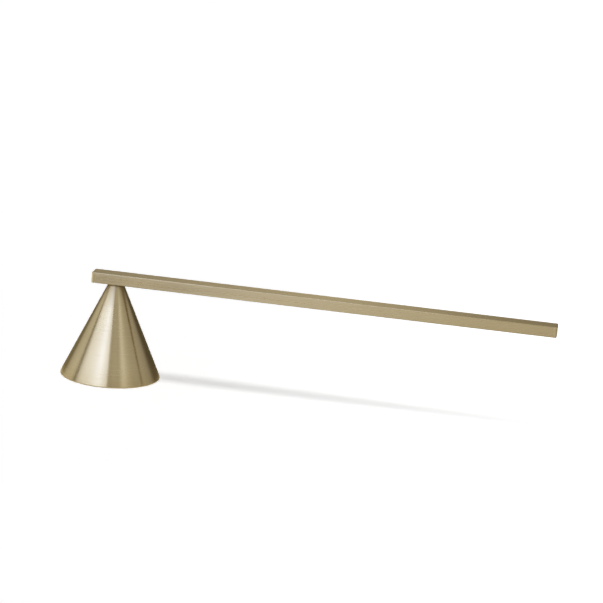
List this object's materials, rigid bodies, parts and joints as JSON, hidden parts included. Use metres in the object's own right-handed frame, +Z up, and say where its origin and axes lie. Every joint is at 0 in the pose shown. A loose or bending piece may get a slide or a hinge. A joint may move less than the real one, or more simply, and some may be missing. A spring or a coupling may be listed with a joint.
{
  "type": "candle snuffer",
  "caption": "Brass candle snuffer: a turned cone bell screwed under one end of a long straight hollow bar handle, which puts out a flame when the bell is lowered over it.",
  "frame": {"origin": "centre of the bell's mouth, in the plane of the rim that the snuffer stands on", "axes": "+Z up the bell's axis from mouth to handle, +X along the handle towards its long end, +Y across the handle"},
  "size_m": [0.2272, 0.0466, 0.0488],
  "materials": {
    "bell_brass": "brushed round the axis",
    "handle_brass": "brushed lengthwise",
    "cap_brass": "brushed, edges eased",
    "block_brass": "as sawn and tapped",
    "screw_steel": "plain",
    "washer_steel": "plain"
  },
  "bodies": {
    "root": {"bell": "bell_brass", "handle_tube": "handle_brass", "short_end_cap": "cap_brass", "long_end_cap": "cap_brass", "anchor_block": "block_brass", "fixing_screw": "screw_steel", "spring_washer": "washer_steel", "plain_washer": "washer_steel"}
  },
  "joints": []
}
